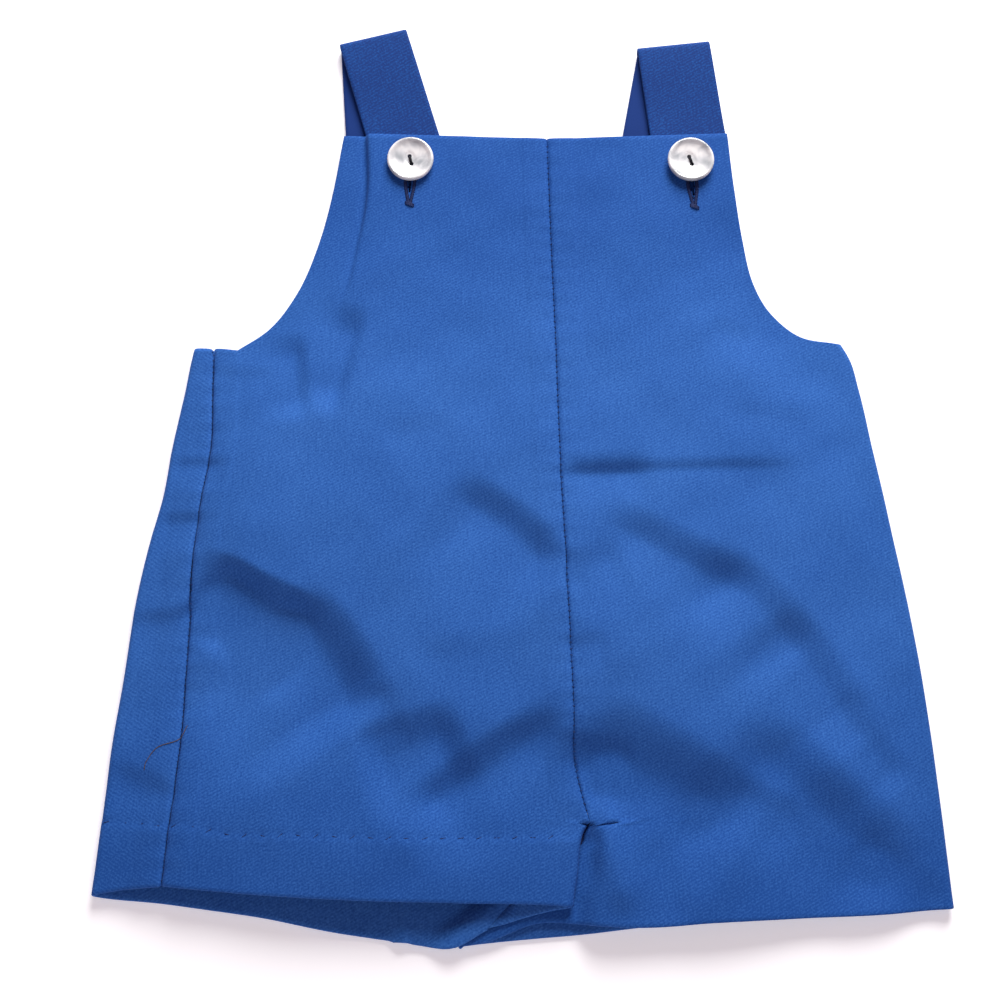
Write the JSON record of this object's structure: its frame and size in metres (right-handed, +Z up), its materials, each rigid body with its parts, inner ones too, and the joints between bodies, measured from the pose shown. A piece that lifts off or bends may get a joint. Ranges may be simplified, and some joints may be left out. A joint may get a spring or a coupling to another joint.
{
  "type": "baby shortalls",
  "caption": "Baby's dungaree shorts laid flat, with a bib, a centre seam, short legs and shoulder straps buttoned through the bib.",
  "frame": {"origin": "middle of the garment's outline, on the surface that it lies on", "axes": "+X to the wearer's left, +Y from the hems to the straps, +Z up from the surface"},
  "size_m": [0.2932, 0.342, 0.0112],
  "materials": {
    "blue_twill": "plain dyed cotton blend twill with a fine fleck",
    "strap_twill": "the same twill, doubled",
    "pearl_button": "polished pearl-like button with grey swirls"
  },
  "bodies": {
    "root": {"front_right": "blue_twill", "front_left": "blue_twill", "back_right": "blue_twill", "back_left": "blue_twill", "strap_right": "strap_twill", "strap_left": "strap_twill", "button_right": "pearl_button", "button_left": "pearl_button"}
  },
  "joints": []
}
